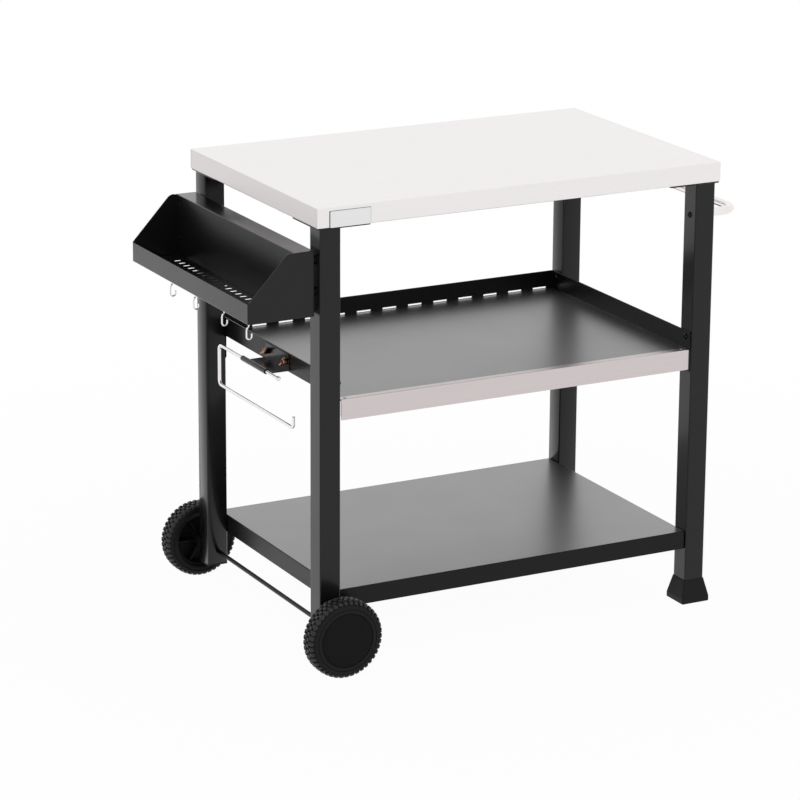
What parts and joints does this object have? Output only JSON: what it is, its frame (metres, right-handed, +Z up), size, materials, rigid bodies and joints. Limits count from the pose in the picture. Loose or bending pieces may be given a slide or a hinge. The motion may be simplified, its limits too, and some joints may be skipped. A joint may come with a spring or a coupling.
{
  "type": "grill cart",
  "caption": "Rolling grill cart: stainless worktop on square black legs, two shelves, hooked side basket, towel rod, push handle and wheels at one end.",
  "frame": {"origin": "on the floor, under the middle of the cart's outline (the middle of the bounding box's base)", "axes": "+Z up; -Y towards the front, where the middle shelf has its stainless lip; +X towards the push handle, -X towards the wheels and the basket"},
  "size_m": [0.997, 0.6478, 0.8382],
  "materials": {
    "stainless_steel": "brushed stainless sheet, satin, with the grain along the length",
    "label_metal": "bare satin plate",
    "black_powder_coat": "black powder coat, fine texture, semi-gloss",
    "chrome_plate": "polished chrome plate",
    "black_plastic": "matt black moulded plastic",
    "wheel_plastic": "matt black moulded wheel with a blocked tread",
    "dark_fasteners": "dark zinc-plated screws and bolts",
    "wing_nut_brass": "yellow-red passivated nuts",
    "zinc_plate": "bright zinc plate"
  },
  "bodies": {
    "cart": {"worktop": "stainless_steel", "label_plate": "label_metal", "worktop_screws": "dark_fasteners", "corner_plate_front_left": "black_powder_coat", "corner_plate_back_left": "black_powder_coat", "corner_plate_front_right": "black_powder_coat", "corner_plate_back_right": "black_powder_coat", "leg_front_left": "black_powder_coat", "leg_back_left": "black_powder_coat", "leg_front_right": "black_powder_coat", "leg_back_right": "black_powder_coat", "leg_plug_front": "black_plastic", "leg_plug_back": "black_plastic", "foot_front": "black_plastic", "foot_back": "black_plastic", "handle": "chrome_plate", "handle_plugs": "zinc_plate", "handle_screws": "dark_fasteners", "middle_shelf": "black_powder_coat", "shelf_lip": "stainless_steel", "lip_rivets": "zinc_plate", "bottom_shelf": "black_powder_coat", "shelf_bolts": "dark_fasteners", "shelf_nuts": "zinc_plate", "basket": "black_powder_coat", "basket_spacers": "dark_fasteners", "basket_bolts": "dark_fasteners", "basket_nuts": "zinc_plate", "towel_bracket": "black_powder_coat", "towel_bolts": "wing_nut_brass", "wing_nuts": "wing_nut_brass", "axle": "dark_fasteners", "axle_spacers": "black_plastic", "axle_washers": "zinc_plate", "axle_nuts": "zinc_plate"},
    "front_wheel": {"wheel_front": "wheel_plastic", "hub_cap_front": "wheel_plastic"},
    "back_wheel": {"wheel_back": "wheel_plastic", "hub_cap_back": "wheel_plastic"},
    "rod": {"towel_rod": "chrome_plate"},
    "wire_hook_1": {"hook_1": "chrome_plate"},
    "wire_hook_2": {"hook_2": "chrome_plate"},
    "wire_hook_3": {"hook_3": "chrome_plate"},
    "wire_hook_4": {"hook_4": "chrome_plate"}
  },
  "joints": [
    {"name": "front_wheel_spin", "type": "hinge", "parent": "cart", "child": "front_wheel", "pos_m": [-0.34647, -0.30385, 0.072], "axis": [0, 1, 0], "continuous": true},
    {"name": "back_wheel_spin", "type": "hinge", "parent": "cart", "child": "back_wheel", "pos_m": [-0.34647, 0.30385, 0.072], "axis": [0, 1, 0], "continuous": true},
    {"name": "towel_rod_swing", "type": "hinge", "parent": "cart", "child": "rod", "pos_m": [-0.37248, -0.004, 0.49595], "axis": [0, 1, 0], "range_deg": [-70, 230]},
    {"name": "hook_1_swing", "type": "hinge", "parent": "cart", "child": "wire_hook_1", "pos_m": [-0.47278, -0.19, 0.645], "axis": [0, 1, 0], "range_deg": [0, 60]},
    {"name": "hook_2_swing", "type": "hinge", "parent": "cart", "child": "wire_hook_2", "pos_m": [-0.47278, -0.09, 0.645], "axis": [0, 1, 0], "range_deg": [0, 60]},
    {"name": "hook_3_swing", "type": "hinge", "parent": "cart", "child": "wire_hook_3", "pos_m": [-0.47278, 0.03, 0.645], "axis": [0, 1, 0], "range_deg": [0, 60]},
    {"name": "hook_4_swing", "type": "hinge", "parent": "cart", "child": "wire_hook_4", "pos_m": [-0.47278, 0.13, 0.645], "axis": [0, 1, 0], "range_deg": [0, 60]}
  ]
}
